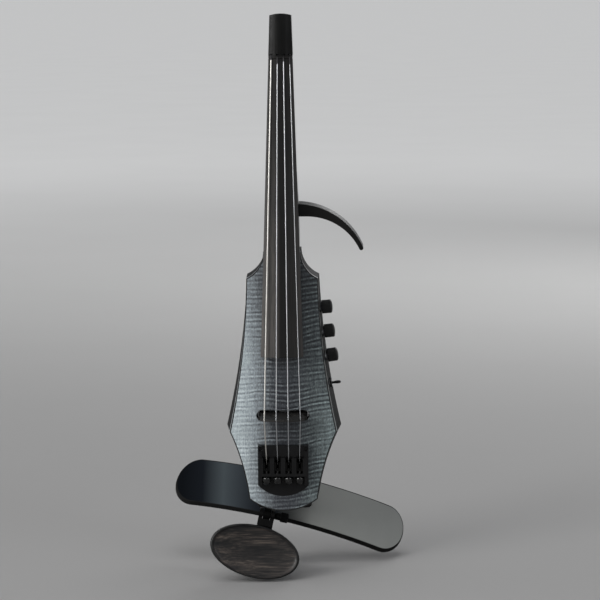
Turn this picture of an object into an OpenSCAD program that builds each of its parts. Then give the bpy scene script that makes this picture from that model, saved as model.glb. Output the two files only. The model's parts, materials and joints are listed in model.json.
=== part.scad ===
// Headless solid-body electric violin with a chin rest, a shoulder rest and a hand stop.
// Frame: +Z runs up the neck, the strings face -Y, and +X is the treble side.
// The origin is on the flat back of the body, on its centre line, level with the bridge.
// A height in the names below is a distance in front of the back plane (height = -y).

/* [Strings] */
// Vibrating length from nut to bridge
string_len = 328; // [320:1:335]
// Height of the strings above the back at the nut
nut_height = 44; // [43:0.5:45]
// Height of the middle of the bridge crest above the back
crest_height = 65; // [63:0.5:67]
// Spacing of the strings at the nut
nut_pitch = 5.5; // [5.2:0.1:5.8]
// Spacing of the strings at the bridge
bridge_pitch = 10.9; // [10.5:0.1:11.3]
// Radius of the curve that the strings, bridge and fingerboard share
camber_r = 42; // [40:1:46]

/* [Body] */
// Height of the body at its arched centre line
body_t = 40; // [39:0.5:41]
// Radius of the arch across the top
arch_r = 260; // [230:10:300]
// Thickness of the figured top plate
top_t = 5; // [4:0.5:6]
// Half width at the shoulder corners
shoulder_x = 33.3; // [32:0.1:34]
// Half width at the waist corners, the widest place
waist_x = 53.2; // [51:0.1:55]
// Level of the waist corners
waist_z = -15; // [-18:1:-12]
// Radius of the tail arc
tail_r = 51.5; // [50:0.5:53]
// Width of the dark edge line around the top
edge_w = 1; // [0.8:0.1:1.4]

/* [Neck] */
// Width of the fingerboard at the nut
board_w0 = 21.7; // [21:0.1:23]
// Width of the fingerboard at its free end
board_w1 = 38.8; // [38:0.1:40]
// Level of the fingerboard's free end
board_end_z = 57; // [55:1:60]
// Length of the head cap
cap_len = 37; // [34:1:40]

/* [Bridge and tuners] */
// Length of the slot that the bridge stands in
slot_len = 49; // [47:0.5:51]
// Width of the slot that the bridge stands in
slot_w = 10.6; // [10:0.1:12]
// Spacing of the four tuner channels
tuner_pitch = 10.15; // [10:0.05:10.3]
// Width of one tuner channel
channel_w = 5.8; // [5.6:0.1:6.2]
// Travel of a tuner carriage each way from its middle place
carriage_travel = 2; // [1:0.5:2]

/* [Controls] */
// Levels of the three control knobs
knob_levels = [98, 75.5, 53]; // [40:1:100]
// Level of the toggle switch
toggle_level = 27.5; // [25:0.5:30]
// Diameter of a control knob
knob_d = 12; // [11:0.5:13]
// Length of a control knob
knob_len = 10; // [9:0.5:11]

/* [Rests] */
// Turn of the chin rest plate as seen from the front
chin_turn = 15; // [10:1:18]
// Long diameter of the chin plate
chin_len = 84; // [80:1:88]
// Short diameter of the chin plate
chin_w = 48; // [46:1:50]
// Turn of the shoulder rest as seen from the front
rest_turn = 16.8; // [14:0.1:18]
// Tilt of the shoulder rest about its long axis
rest_tilt = 37; // [35:1:39]
// Radius that the shoulder rest is bent to
rest_r = 300; // [290:5:320]
// Width of the shoulder rest pad
rest_w = 46; // [44:1:48]

/* [Hidden] */
$fn = 96;
big_fn = 240;
small_fn = 32;

string_side = [-1.5, -0.5, 0.5, 1.5];   // G, D, A, E in steps of the string spacing
string_radius = [0.62, 0.52, 0.45, 0.36];
fit_gap = 0.05;                         // radial clearance of a pin that turns in a hole
part_gap = 0.3;                         // clearance between neighbours that move

// ---- outline of the body -------------------------------------------------------------

shoulder = [shoulder_x, 127];
waist = [waist_x, waist_z];
tail_centre_z = -37;
tail_corner = [33, tail_centre_z - sqrt(tail_r * tail_r - 33 * 33)];
tail_z = tail_centre_z - tail_r;
flare_r = 27.4;
flare_centre = [44.4, 152];
upper_sag = 3.3;      // how far the upper side dips in behind a straight line
lower_sag = 2.4;      // the same for the lower side
upper_lean = -19;     // drift of the upper side's arc centre over lean_depth, for a leaning wall
lower_lean = 8.5;
lean_depth = 36;
arch_axis_y = arch_r - body_t;

function chord(p, q) = norm(q - p);
function sag_radius(p, q, sag) = chord(p, q) * chord(p, q) / (8 * sag) + sag / 2;
function normal_of(p, q) = [(p.y - q.y), (q.x - p.x)] / chord(p, q);
function sag_centre(p, q, sag) = (p + q) / 2 + normal_of(p, q) * (sag_radius(p, q, sag) - sag);
upper_r = sag_radius(shoulder, waist, upper_sag);
upper_centre = sag_centre(shoulder, waist, upper_sag);
lower_r = sag_radius(waist, tail_corner, lower_sag);
lower_centre = sag_centre(waist, tail_corner, lower_sag);

// Half width of the body and slope of its side at a level on the upper side
function side_x(z) = upper_centre.x - sqrt(upper_r * upper_r - pow(z - upper_centre.y, 2));
function side_slope(z) = asin((upper_centre.y - z) / upper_r);

// Extrudes a front-view outline, drawn in x and z, between two heights.
module slab(low, high) {
    translate([0, -low, 0])
        rotate([90, 0, 0])
            linear_extrude(high - low) children();
}

// A round bar along the depth axis between two heights.
module post(r, low, high, x = 0, z = 0) {
    translate([x, -low, z])
        rotate([90, 0, 0])
            cylinder(r = r, h = high - low);
}

// A large upright cylinder whose axis leans along z, to cut one curved, leaning side.
module leaning_cutter(centre, r, lean, inset) {
    angle = atan(lean / lean_depth);
    true_r = r * pow(cos(angle), 2);
    translate([centre.x - r + true_r, 0, centre.y])
        rotate([90 - angle, 0, 0])
            translate([0, 0, -80])
                cylinder(r = true_r + inset, h = 200, $fn = big_fn * 2);
}

module mirrored() {
    children();
    mirror([1, 0, 0]) children();
}

// The body's full outline as a block from the back plane forward, drawn in by an inset.
module body_block(inset, high = 60) {
    difference() {
        slab(0, high)
            intersection() {
                translate([-waist_x - 2, tail_z - 2]) square([2 * waist_x + 4, flare_centre.y - tail_z + 2]);
                union() {
                    translate([0, tail_centre_z]) circle(tail_r - inset, $fn = big_fn);
                    translate([-waist_x - 2, tail_centre_z + 1]) square([2 * waist_x + 4, 200]);
                }
            }
        mirrored() {
            leaning_cutter(upper_centre, upper_r, upper_lean, inset);
            leaning_cutter(lower_centre, lower_r, lower_lean, inset);
            slab(-1, high + 1) translate(flare_centre) circle(flare_r + inset, $fn = big_fn);
        }
    }
}

// Everything behind the arched surface that lies a given depth under the top.
module under_arch(depth) {
    translate([0, arch_axis_y, tail_z - 5])
        cylinder(r = arch_r - depth, h = 300, $fn = big_fn * 2);
}

// ---- neck and head geometry ----------------------------------------------------------

nut_z = string_len;
board_top0 = nut_height - 0.9;      // height of the board's crown at the nut
board_top1 = 57.3;                  // and at its free end
board_under0 = 36.6;                // height of the board's flat underside at the nut
board_under1 = 47.8;
board_run = nut_z - board_end_z;
heel_top_z = 199;
heel_low = 3;                       // height of the heel's back above the back plane
tenon_z = 100;
tenon_w = 26;
tenon_low = 13;

function board_half(z) = (board_w0 + (board_w1 - board_w0) * (nut_z - z) / board_run) / 2;
function string_x(i, pitch) = string_side[i] * pitch;
function camber_drop(x) = camber_r - sqrt(camber_r * camber_r - x * x);

// Front-view outline of the fingerboard, optionally narrower on both sides.
module board_outline(z0, z1, narrow = 0) {
    polygon([
        [-board_half(z0) + narrow, z0], [board_half(z0) - narrow, z0],
        [board_half(z1) - narrow, z1], [-board_half(z1) + narrow, z1]
    ]);
}

// Everything in front of the board's flat underside.
module above_board_underside() {
    angle = atan((board_under1 - board_under0) / board_run);
    translate([0, -board_under0, nut_z])
        rotate([-angle, 0, 0])
            translate([-60, -60, -350])
                cube([120, 60, 400]);
}

// ---- strings -------------------------------------------------------------------------

anchor_z = nut_z + 17;
anchor_height = 40.5;
saddle_z = -36;
saddle_height = 46.5;
string_end_z = -44.5;
string_end_height = 42.3;
ball_r = 1.5;
sleeve = 1.12;

function nut_point(i) =
    [string_x(i, nut_pitch), -(nut_height - camber_drop(string_x(i, nut_pitch))), nut_z];
function crest_point(i) =
    [string_x(i, bridge_pitch), -(crest_height - camber_drop(string_x(i, bridge_pitch))), 0];
function string_path(i) = [
    [string_x(i, nut_pitch), -anchor_height, anchor_z],
    nut_point(i),
    crest_point(i),
    [string_x(i, tuner_pitch), -saddle_height, saddle_z],
    [string_x(i, tuner_pitch), -string_end_height, string_end_z]
];

// A round rod from one point to another.
module rod(p, q, r) {
    d = q - p;
    len = norm(d);
    translate(p)
        rotate([0, acos(d.z / len), atan2(d.y, d.x)])
            cylinder(r = r, h = len, $fn = small_fn);
}

// A string with its ball end; each bend has a round sleeve a little thicker than the string.
// The two treble strings run as mirror images of the two bass strings.
module string_shape(i, extra = 0) {
    treble = i > 1;
    path = string_path(treble ? 3 - i : i);
    r = string_radius[i] + extra;
    mirror([treble ? 1 : 0, 0, 0]) {
        for (k = [0:len(path) - 2]) rod(path[k], path[k + 1], r);
        for (k = [1:len(path) - 2]) translate(path[k]) sphere(r = r * sleeve, $fn = small_fn);
        translate(path[0]) sphere(r = ball_r + extra, $fn = small_fn);
    }
}

module string_g() { color("tan") string_shape(0); }
module string_d() { color("silver") string_shape(1); }
module string_a() { color("silver") string_shape(2); }
module string_e() { color("silver") string_shape(3); }

// ---- body ----------------------------------------------------------------------------

well_floor = 24;                     // height of the floor of the bridge well
cavity_floor = 31;                   // height of the inner end of the control cavity
cover_t = 2;
tuner_floor = 34.5;
jack_x = 14;
jack_height = 18;
jack_face_z = -84;
jack_r = 3.25;
jack_len = 14;

cavity_outline = [[15, 18], [38.5, 18], [36, 40], [32.5, 60], [30, 85], [29.5, 112], [15, 112]];
cover_points = [
    [10.5, 11], [42.5, 11], [40, 40], [36.2, 62], [33.4, 85], [31.4, 112], [31.4, 120], [10.5, 120]
];
cover_middle = [24, 60];
battery_box = [[-30.5, 14], [-3.9, 62.6]];  // corners of the battery bay in x and z
battery_height = [3.2, 21];

module obround(length, width) {
    square([length - width, width], center = true);
    for (s = [-1, 1]) translate([s * (length - width) / 2, 0]) circle(width / 2);
}

// Outline of the tuner frame: straight sides and an arc at the tail end.
tuner_top_z = -26.3;
tuner_side_z = -64.6;
tuner_half = 23;
tuner_tail_z = -74.4;
tuner_arc_sag = tuner_side_z - tuner_tail_z;
tuner_arc_r = (tuner_half * tuner_half + tuner_arc_sag * tuner_arc_sag) / (2 * tuner_arc_sag);
module tuner_outline(grow = 0) {
    intersection() {
        translate([-tuner_half - grow, tuner_tail_z - grow])
            square([2 * (tuner_half + grow), tuner_top_z - tuner_tail_z + 2 * grow]);
        union() {
            translate([0, tuner_tail_z + tuner_arc_r]) circle(tuner_arc_r + grow, $fn = big_fn);
            translate([-tuner_half - grow, tuner_tail_z + tuner_arc_r]) square([60, 40]);
        }
    }
}

// A rectangle with round corners.
module round_rect(x0, x1, z0, z1, r = 3) {
    translate([x0 + r, z0]) square([x1 - x0 - 2 * r, z1 - z0]);
    translate([x0, z0 + r]) square([x1 - x0, z1 - z0 - 2 * r]);
    for (x = [x0 + r, x1 - r]) for (z = [z0 + r, z1 - r]) translate([x, z]) circle(r);
}
module control_cover_outline(grow = 0) {
    polygon([for (p = cover_points) p + grow * [sign(p.x - cover_middle.x), sign(p.y - cover_middle.y)]]);
}
module battery_cover_outline(grow = 0) {
    round_rect(-33.5 - grow, -1 + grow, 8 - grow, 69 + grow);
}
cover_screw_places = [
    [13.3, 14.3], [38, 14.3], [13.3, 116.6], [27.8, 116.6],
    [-30, 11], [-4.5, 11], [-30, 66], [-4.5, 66]
];

// Places a child on the treble side wall: local +Z points out of the wall at a level.
module on_side(z, height) {
    translate([side_x(z), -height, z])
        rotate([0, 90 - side_slope(z), 0]) children();
}
control_height = 17;
pot_bush_r = 3.5;
toggle_bush_r = 3;

module body_core() {
    color([0.16, 0.18, 0.19])
    difference() {
        intersection() {
            body_block(0);
            under_arch(top_t);
        }
        // bridge well, tuner recess and neck pocket
        slab(well_floor, 60) translate([0, 0.6]) obround(slot_len, slot_w);
        slab(tuner_floor, 60) tuner_outline(0.1);
        translate([-tenon_w / 2, -60, tenon_z]) cube([tenon_w, 60 - tenon_low, 80]);
        // control cavity and battery bay, with shallow recesses for their covers
        slab(-1, cavity_floor) polygon(cavity_outline);
        slab(-1, cover_t + 0.1) control_cover_outline(0.15);
        slab(-1, battery_height[1]) translate(battery_box[0]) square(battery_box[1] - battery_box[0]);
        slab(-1, cover_t + 0.1) battery_cover_outline(0.15);
        // wire ways: from the cavity to the battery bay, to the bridge well and to the jack
        translate([-6, -17, 22]) rotate([0, 90, 0]) cylinder(r = 2, h = 24, $fn = small_fn);
        translate([18, -26.5, 20]) rotate([180, 0, 0]) cylinder(r = 1.8, h = 16, $fn = small_fn);
        translate([19, -jack_height, 24]) rotate([180, 0, 0]) cylinder(r = 2.2, h = 76, $fn = small_fn);
        // output jack bore and its flat seat
        translate([jack_x, -jack_height, -110]) cylinder(r = 5.5, h = 61);
        translate([jack_x, -jack_height, -110]) cylinder(r = 7.5, h = 110 + jack_face_z);
        // holes through the treble side for the controls, each with a flat seat
        for (z = knob_levels) on_side(z, control_height) {
            translate([0, 0, -9]) cylinder(r = pot_bush_r, h = 20);
            translate([0, 0, -0.8]) cylinder(r = 6.8, h = 10);
        }
        on_side(toggle_level, control_height) {
            translate([0, 0, -11]) cylinder(r = toggle_bush_r, h = 20);
            translate([0, 0, -1.4]) cylinder(r = 5.2, h = 10);
        }
        // seat of the tail bracket, across the whole lower end of the back
        slab(-1, bracket_seat) square_between(-waist_x, waist_x, tail_z - 1, bracket_z[1] + 0.2);
        // screw holes in the back
        for (p = cover_screw_places) post(1.1, -1, 12, p.x, p.y);
        for (p = bracket_screw_places) post(1.6, -1, 14, p.x, p.y);
        for (p = tuner_screw_places) post(1.1, 26, 45, p.x, p.y);
    }
}

module top_plate() {
    color([0.50, 0.58, 0.62])
    difference() {
        intersection() {
            body_block(0);
            under_arch(0);
        }
        under_arch(top_t);
        edge_ring();
        slab(0, 60) translate([0, 0.6]) obround(slot_len, slot_w);
        slab(0, 60) tuner_outline(0.1);
        translate([-tenon_w / 2, -60, tenon_z]) cube([tenon_w, 60 - tenon_low, 80]);
    }
}

binding_depth = 2;
module edge_ring() {
    difference() {
        body_block(-1);
        body_block(edge_w);
        under_arch(binding_depth);
        translate([-20, -60, flare_centre.y - 2]) cube([40, 60, 10]);
    }
}

module top_binding() {
    color([0.03, 0.03, 0.035])
    intersection() {
        body_block(0);
        under_arch(0);
        edge_ring();
    }
}

// ---- neck, fingerboard and head ------------------------------------------------------

// A tapered round bar that rounds the neck's back; its axis lies a little under the board.
neck_cone_r = [10.72, 16.33];       // radius at the head end and at the heel end
neck_cone_len = 155;
neck_cone_height = board_under0 - 3.2;
neck_cone_angle = 3.15;
module neck_cone() {
    translate([0, -neck_cone_height, nut_z])
        rotate([180 - neck_cone_angle, 0, 0])
            translate([0, 0, -5])
                cylinder(r1 = neck_cone_r[0], r2 = neck_cone_r[1], h = neck_cone_len);
}

// The heel: a block with round back corners that curves in towards the neck.
heel_corner_r = 6;
heel_curve_r = 24;
heel_half = 15.6;
heel_curve_height = -1.1;
module heel() {
    difference() {
        intersection() {
            slab(heel_low, 60) board_outline(flare_centre.y, heel_top_z + heel_curve_r, 0.3);
            translate([0, 0, flare_centre.y - 1])
                linear_extrude(90) round_rect(-heel_half, heel_half, -60, -heel_low, heel_corner_r);
        }
        translate([-30, -heel_curve_height, heel_top_z + heel_curve_r])
            rotate([0, 90, 0]) cylinder(r = heel_curve_r, h = 60);
    }
}

module neck() {
    color([0.07, 0.065, 0.065]) {
        difference() {
            union() {
                intersection() {
                    slab(10, 60) board_outline(heel_top_z - 8, nut_z + 1, 0.3);
                    neck_cone();
                }
                heel();
            }
            above_board_underside();
            hand_stop_bars(hand_stop_hole_r, 60);
        }
        neck_tongue();
        head_core();
    }
}

// The part of the neck that lies over the body, and the tenon under it.
module neck_tongue() {
    difference() {
        union() {
            slab(tenon_low, 60) board_outline(board_end_z + 0.6, flare_centre.y, 0.8);
            translate([-tenon_w / 2, -38, tenon_z]) cube([tenon_w, 38 - tenon_low, flare_centre.y - tenon_z]);
        }
        above_board_underside();
        difference() {
            translate([-30, -60, 0]) cube([60, 60, flare_centre.y]);
            translate([-tenon_w / 2, -60, tenon_z]) cube([tenon_w, 60 - tenon_low, 80]);
            difference() {
                translate([-30, -60, 0]) cube([60, 60, flare_centre.y]);
                under_arch(0);
            }
        }
    }
}

// The block under the head cap that holds the string anchor.
module head_core() {
    difference() {
        slab(26, 38)
            polygon([[-8.6, nut_z + 0.8], [8.6, nut_z + 0.8], [7.2, nut_z + 31], [-7.2, nut_z + 31]]);
        post(1.3, 20, 36, 0, nut_z + 26);
        slab(board_under0, 60) square_between(-board_w0 / 2, board_w0 / 2, nut_z, nut_z + 1.05);
    }
}

module fingerboard() {
    angle = atan((board_top1 - board_top0) / board_run);
    color([0.10, 0.085, 0.08])
    intersection() {
        slab(20, 70) board_outline(board_end_z, nut_z - 1.4);
        above_board_underside();
        translate([0, -(board_top0 - camber_r / cos(angle)), nut_z])
            rotate([180 - angle, 0, 0])
                translate([0, 0, -20])
                    cylinder(r = camber_r, h = 340, $fn = big_fn);
    }
}

module nut() {
    color([0.05, 0.05, 0.05])
    difference() {
        intersection() {
            slab(board_under0 + 0.1, 60) square_between(-10.8, 10.8, nut_z - 1.4, nut_z + 1);
            translate([0, -(nut_height + 0.3 - camber_r), 300]) cylinder(r = camber_r, h = 60, $fn = big_fn);
        }
        for (i = [0:3]) string_shape(i, 0.03);
        above_nut_strings();
    }
}

module square_between(x0, x1, z0, z1) {
    translate([x0, z0]) square([x1 - x0, z1 - z0]);
}

// Opens each nut slot to the front, so that a string can be lifted out.
module above_nut_strings() {
    for (i = [0:3]) {
        p = nut_point(i);
        translate([p.x - string_radius[i] - 0.03, p.y - 10, p.z - 5])
            cube([2 * string_radius[i] + 0.06, 10, 10]);
    }
}

cap_w1 = 19.2;
cap_top_height = 47.6;
cap_back_height = 20.5;
cap_wall = 1.6;
module cap_outline(inset = 0) {
    z0 = nut_z + 1;
    z1 = nut_z + 1 + cap_len;
    top_sag = 1.4;
    arc_r = cap_w1 * cap_w1 / (8 * top_sag) + top_sag / 2;
    overrun = inset > 0 ? 5 : 0;        // the hollow runs out through the open end
    intersection() {
        polygon([
            [-board_w0 / 2 + inset, z0 - overrun], [board_w0 / 2 - inset, z0 - overrun],
            [cap_w1 / 2 - inset, z1], [-cap_w1 / 2 + inset, z1]
        ]);
        translate([0, z1 - arc_r - inset]) circle(arc_r, $fn = big_fn);
    }
}
module cap_bar(inset) {
    front_r = 15;
    translate([0, -(cap_top_height - front_r), nut_z - 10]) cylinder(r = front_r - inset, h = 60);
}
module cap_back_bar(inset) {
    back_r = 17;
    translate([0, -(cap_back_height + back_r), nut_z - 10]) cylinder(r = back_r - inset, h = 60);
}
module head_cap() {
    color([0.05, 0.05, 0.055])
    difference() {
        intersection() {
            slab(10, 60) cap_outline();
            cap_bar(0);
            cap_back_bar(0);
        }
        intersection() {
            slab(10, 60) cap_outline(cap_wall);
            cap_bar(cap_wall);
            cap_back_bar(cap_wall);
        }
        for (i = [0:3]) {
            translate([string_x(i, nut_pitch), 0.6 - nut_height, nut_z - 5]) cylinder(r = 1.3, h = 15);
            translate([string_x(i, nut_pitch) - 1.3, -60, nut_z]) cube([2.6, 16.4, 2.4]);
            // room for the string and for its ball end in the side wall
            translate([string_x(i, nut_pitch) - 0.9, 0.8 - nut_height, nut_z])
                cube([1.8, 3.6, anchor_z - nut_z]);
            post(ball_r + 0.2, 10, anchor_height + ball_r + 0.2, string_x(i, nut_pitch), anchor_z);
        }
        post(1.3, 10, 30, 0, nut_z + 26);
    }
}

module head_cap_screws() {
    color("dimgray") {
        post(1.25, 21, 34, 0, nut_z + 26);
        difference() {
            post(2.4, 19.4, cap_back_height, 0, nut_z + 26);
            translate([-3, -20, nut_z + 25.7]) cube([6, 2, 0.6]);
        }
    }
}

// Brass block on the head core: each string's ball end drops into its own seat.
module string_anchor() {
    color("goldenrod")
    difference() {
        slab(38, 42.6)
            polygon([[-8.4, anchor_z - 7], [8.4, anchor_z - 7], [8.2, anchor_z + 4], [-8.2, anchor_z + 4]]);
        for (i = [0:3]) {
            translate([string_x(i, nut_pitch), -anchor_height, anchor_z]) {
                sphere(r = ball_r + 0.1, $fn = small_fn);
                rotate([90, 0, 0]) cylinder(r = ball_r + 0.1, h = 6, $fn = small_fn);
            }
            hull() for (h = [0, 8]) rod(string_path(i)[0] - [0, h, 0], nut_point(i) - [0, h, 0], 0.75);
        }
    }
}

// ---- bridge and pickup ---------------------------------------------------------------

bridge_z = 0.6;
bridge_foot_t = 5;
bridge_crest_t = 2;
foot_height = well_floor + 4;

module bridge_profile() {
    waist_h = 44;
    difference() {
        intersection() {
            translate([-22, foot_height]) square([44, crest_height - foot_height + 5]);
            translate([0, crest_height + 0.35 - camber_r]) circle(camber_r, $fn = big_fn);
        }
        mirrored_2d() {
            translate([31, waist_h]) circle(12.5);
            polygon([[20.5, 53], [18.8, 70], [30, 70], [30, 53]]);
            translate([9.2, 47.5]) circle(3.2);
        }
        translate([0, foot_height - 3]) circle(9.5);
    }
}
module mirrored_2d() {
    children();
    mirror([1, 0]) children();
}
module bridge() {
    lean = atan((bridge_foot_t - bridge_crest_t) / 2 / (crest_height - foot_height));
    color([0.15, 0.12, 0.10])
    difference() {
        translate([0, 0, bridge_z - bridge_foot_t / 2])
            linear_extrude(bridge_foot_t)
                mirror([0, 1]) bridge_profile();
        for (s = [-1, 1])
            translate([0, -foot_height, bridge_z + s * bridge_foot_t / 2])
                rotate([s * lean, 0, 0])
                    translate([-40, -60, s > 0 ? 0 : -10]) cube([80, 60, 10]);
        for (i = [0:3]) string_shape(i, 0.03);
        for (i = [0:3]) translate([crest_point(i).x - string_radius[i], crest_point(i).y - 5, -10])
            cube([2 * string_radius[i], 5, 20]);
    }
}

module pickup_base() {
    color("dimgray")
    difference() {
        slab(well_floor, well_floor + 2.5) translate([0, bridge_z]) obround(slot_len - 1, slot_w - 1);
        for (s = [-1, 1]) post(4.2, well_floor + 1.2, well_floor + 5, s * 15.5, bridge_z);
        post(1.2, well_floor - 1, well_floor + 5, 0, bridge_z);
    }
}
module pickup_elements() {
    color("goldenrod")
        for (s = [-1, 1]) post(4, well_floor + 1.2, foot_height, s * 15.5, bridge_z);
}
module pickup_lead() {
    color([0.1, 0.1, 0.1]) {
        rod([18, -26.5, 30], [18, -26.5, 7.2], 0.7);
        translate([18, -26.5, 30]) sphere(r = 0.7, $fn = small_fn);
        rod([18, -26.5, 30], [19.5, -22, 34], 0.7);
    }
}

// ---- tuners --------------------------------------------------------------------------

tuner_floor_t = 3;
tuner_rail_height = 48;
tuner_apron_height = 40.6;
tuner_wall_z = [-52, -54.6];         // the cross wall that the tuning screws turn in
screw_height = 45;
screw_r = 1.5;
screw_head_r = 4;
screw_head_z = [-55, -63.2];
carriage_len = 8;
carriage_low = tuner_wall_z[0] + carriage_travel + 0.4;
carriage_z = [carriage_low + carriage_len, carriage_low];
tuner_screw_places = [[-20.9, -29], [20.9, -29], [-10.15, -59], [10.15, -59]];

// Height of the seat under a frame screw's head: on the top strip or on the apron
function tuner_screw_seat(p) = (p.y > -45 ? tuner_rail_height - 3.6 : tuner_apron_height) - 1.2;

module tuner_frame() {
    base = tuner_floor + tuner_floor_t;
    color([0.045, 0.045, 0.05])
    difference() {
        union() {
            slab(tuner_floor, base) tuner_outline();
            slab(base, tuner_apron_height) intersection() {
                tuner_outline();
                square_between(-30, 30, tuner_tail_z - 1, tuner_wall_z[0]);
            }
            for (k = [-2:2]) {
                outer = abs(k) == 2;
                half = outer ? (tuner_half - 1.5 * tuner_pitch - channel_w / 2) : (tuner_pitch - channel_w);
                x = outer ? sign(k) * (tuner_half - half / 2) : k * tuner_pitch;
                slab(base - 0.5, tuner_rail_height)
                    square_between(x - half / 2, x + half / 2, tuner_wall_z[1], saddle_z - 1.4);
            }
            slab(base - 0.5, tuner_rail_height)
                square_between(-tuner_half, tuner_half, tuner_wall_z[1], tuner_wall_z[0]);
            slab(base - 0.5, tuner_rail_height - 3.6)
                square_between(-tuner_half, tuner_half, saddle_z - 1.4, tuner_top_z);
            for (s = [-1, 1])
                slab(base - 0.5, tuner_rail_height - 0.8)
                    square_between(s * (tuner_half - 1.7) - 1.7, s * (tuner_half - 1.7) + 1.7,
                                   tuner_side_z + 1.5, tuner_top_z);
        }
        for (i = [0:3]) {
            x = string_x(i, tuner_pitch);
            slab(base, 60)
                square_between(x - channel_w / 2, x + channel_w / 2, tuner_wall_z[0], saddle_z - 0.4);
            translate([x, -screw_height, tuner_wall_z[1] - 1]) cylinder(r = screw_r + fit_gap, h = 10);
            string_shape(i, 0.35);
            slab(tuner_rail_height - 5.2, 60) square_between(x - 1.6, x + 1.6, saddle_z - 3, saddle_z + 4.6);
        }
        for (p = tuner_screw_places) {
            post(1.2, tuner_floor - 1, 60, p.x, p.y);
            post(2.3, tuner_screw_seat(p), 60, p.x, p.y);
        }
    }
}

module tuner_frame_screws() {
    color([0.08, 0.08, 0.085])
    for (p = tuner_screw_places) {
        head = tuner_screw_seat(p);
        difference() {
            union() {
                post(1.05, 27, head + 0.1, p.x, p.y);
                post(2.1, head, head + 1, p.x, p.y);
            }
            slab(head + 0.4, head + 2) translate([p.x, p.y]) circle(1.1, $fn = 6);
        }
    }
}

module tuner_carriage(i) {
    x = string_x(i, tuner_pitch);
    half = channel_w / 2 - 0.15;
    color([0.07, 0.07, 0.075])
    difference() {
        slab(tuner_floor + tuner_floor_t + 0.1, tuner_rail_height - 0.6)
            square_between(x - half, x + half, carriage_z[1], carriage_z[0]);
        translate([x, -screw_height, carriage_z[1] - 1]) cylinder(r = screw_r + fit_gap, h = 7);
        slab(40.6, 60) square_between(x - 1.1, x + 1.1, string_end_z - 3.4, carriage_z[0] + 1);
    }
}
module tuner_carriage_g() { tuner_carriage(0); }
module tuner_carriage_d() { tuner_carriage(1); }
module tuner_carriage_a() { tuner_carriage(2); }
module tuner_carriage_e() { tuner_carriage(3); }

// Points of a finely toothed wheel, for a knurled grip.
function knurl_points(r, teeth, depth) = [
    for (k = [0:2 * teeth - 1]) let (a = k * 180 / teeth, q = (k % 2 == 0) ? r : r - depth)
        [q * cos(a), q * sin(a)]
];
// A knurled barrel with a domed end at +Z, standing on z = 0.
module knurled_barrel(r, length, teeth, depth, dome) {
    dome_r = (r * r + dome * dome) / (2 * dome);
    intersection() {
        linear_extrude(length) polygon(knurl_points(r, teeth, depth));
        translate([0, 0, length - dome_r]) sphere(r = dome_r);
    }
}

module tuner_screw(i) {
    length = screw_head_z[0] - screw_head_z[1];
    color([0.09, 0.09, 0.095])
    translate([string_x(i, tuner_pitch), -screw_height, 0]) {
        translate([0, 0, screw_head_z[0]])
            rotate([180, 0, 0]) knurled_barrel(screw_head_r, length, 20, 0.35, 2.4);
        translate([0, 0, screw_head_z[0] - 1])
            cylinder(r = screw_r, h = carriage_z[1] + 2.4 - screw_head_z[0] + 1);
    }
}
module tuner_screw_g() { tuner_screw(0); }
module tuner_screw_d() { tuner_screw(1); }
module tuner_screw_a() { tuner_screw(2); }
module tuner_screw_e() { tuner_screw(3); }

// ---- controls ------------------------------------------------------------------------

shaft_r = 3;
module control_knob(k) {
    skirt = 2.6;
    color([0.05, 0.05, 0.05])
    on_side(knob_levels[k], control_height) {
        translate([0, 0, 0.6]) difference() {
            knurled_barrel(knob_d / 2, knob_len, 32, 0.3, 1.9);
            translate([0, 0, -0.1]) cylinder(r = 4.9, h = skirt);
        }
        translate([0, 0, -12]) cylinder(r = shaft_r - 0.25, h = 12 + skirt + 1);
    }
}
module volume_knob() { control_knob(0); }
module bass_knob() { control_knob(1); }
module treble_knob() { control_knob(2); }

module potentiometers() {
    color("silver")
    for (z = knob_levels) on_side(z, control_height)
        difference() {
            union() {
                translate([0, 0, -16.5]) cylinder(r = 8, h = 9);
                translate([0, 0, -8]) cylinder(r = pot_bush_r - 0.05, h = 9.4);
                translate([-11, -4, -14]) cube([5, 8, 1.2]);
            }
            translate([0, 0, -12.2]) cylinder(r = shaft_r - 0.25 + fit_gap, h = 20);
        }
}

module pot_nuts() {
    color("silver")
    for (z = knob_levels) on_side(z, control_height)
        translate([0, 0, -0.7]) difference() {
            cylinder(r = 4.6, h = 1.9, $fn = 6);
            translate([0, 0, -1]) cylinder(r = pot_bush_r + 0.02, h = 5);
        }
}

lever_r = 1.15;
lever_len = 7.6;
lever_pivot_r = 1.9;
lever_pivot_w = 3;
// The lever's round pivot bar, along the depth axis.
module lever_pivot(gap = 0) {
    translate([0, 0, -3]) rotate([90, 0, 0])
        cylinder(r = lever_pivot_r + gap, h = lever_pivot_w + 4 * gap, center = true);
}
module toggle_body() {
    color("silver")
    on_side(toggle_level, control_height) difference() {
        union() {
            translate([-4, -6.5, -17]) cube([8, 13, 8]);
            translate([0, 0, -10]) cylinder(r = toggle_bush_r - 0.05, h = 10.2);
        }
        lever_pivot(fit_gap);
        translate([0, 0, -3]) cylinder(r1 = 1.3, r2 = 2.6, h = 4);
    }
}
module toggle_lever() {
    color([0.05, 0.05, 0.05])
    on_side(toggle_level, control_height) {
        lever_pivot();
        translate([0, 0, -3]) cylinder(r1 = 0.85, r2 = lever_r, h = lever_len + 3, $fn = small_fn);
        translate([0, 0, lever_len]) sphere(r = lever_r, $fn = small_fn);
    }
}
module toggle_nut() {
    color([0.06, 0.06, 0.06])
    on_side(toggle_level, control_height)
        translate([0, 0, -1.3]) difference() {
            cylinder(r = 4.5, h = 1.4, $fn = 6);
            translate([0, 0, -1]) cylinder(r = toggle_bush_r + 0.02, h = 5);
        }
}

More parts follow.
